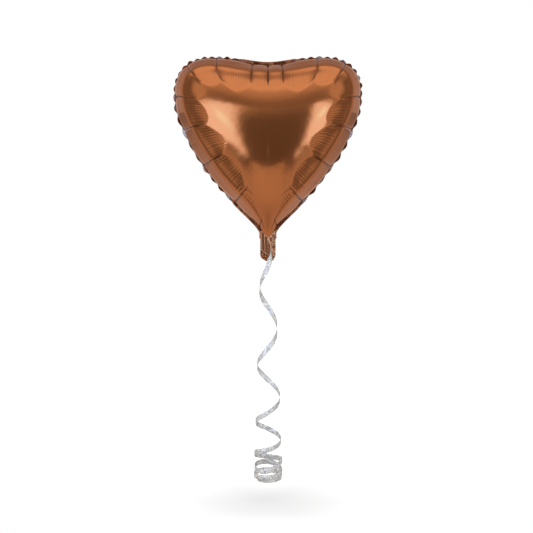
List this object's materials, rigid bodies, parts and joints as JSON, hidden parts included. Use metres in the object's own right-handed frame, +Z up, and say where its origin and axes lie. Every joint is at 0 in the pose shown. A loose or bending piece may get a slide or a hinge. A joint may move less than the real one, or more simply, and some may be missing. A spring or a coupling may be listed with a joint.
{
  "type": "heart foil balloon with curled ribbon",
  "caption": "Heart-shaped foil balloon with a sealed rim, a flat filling tail with a valve, and a hanging curled ribbon.",
  "frame": {"origin": "the middle of the neck, where the sealed rim of the heart runs into the filling tail: the place a hand or a stick cup holds", "axes": "+Z up from the tail to the lobes, the front film faces -Y, +X to the right as seen from the front"},
  "size_m": [0.402, 0.191, 0.914],
  "materials": {
    "copper_foil": "mirror-bright metallised film, rose copper",
    "welded_foil": "embossed heat seal of the same film",
    "clear_film": "clear thin film",
    "silver_ribbon": "silver holographic plastic ribbon"
  },
  "bodies": {
    "envelope": {"front_panel": "copper_foil", "back_panel": "copper_foil", "rim_weld": "welded_foil", "valve_front_film": "clear_film", "valve_back_film": "clear_film"},
    "tail": {"tail_front_ply": "copper_foil", "tail_back_ply": "copper_foil", "tail_weld": "welded_foil"},
    "knot": {"ribbon_knot": "silver_ribbon", "ribbon_loose_end": "silver_ribbon"},
    "ribbon": {"ribbon_strand": "silver_ribbon"},
    "curl": {"ribbon_curl": "silver_ribbon"}
  },
  "joints": [
    {"name": "tail_flap", "type": "hinge", "parent": "envelope", "child": "tail", "pos_m": [0, 0, -0.0126], "axis": [1, 0, 0], "range_deg": [-45, 45], "stiffness_Nm_per_rad": 0.004},
    {"name": "ribbon_side_swing", "type": "hinge", "parent": "tail", "child": "knot", "pos_m": [0.007, 0, -0.037], "axis": [0, 1, 0], "range_deg": [-60, 60]},
    {"name": "ribbon_forward_swing", "type": "hinge", "parent": "knot", "child": "ribbon", "pos_m": [0.007, -0.0049, -0.037], "axis": [-1, 0, 0], "range_deg": [0, 60]},
    {"name": "curl_stretch", "type": "slide", "parent": "ribbon", "child": "curl", "axis": [0, 0, -1], "range_m": [0, 0.1], "stiffness_N_per_m": 4, "deforming": ["ribbon_strand"]}
  ]
}
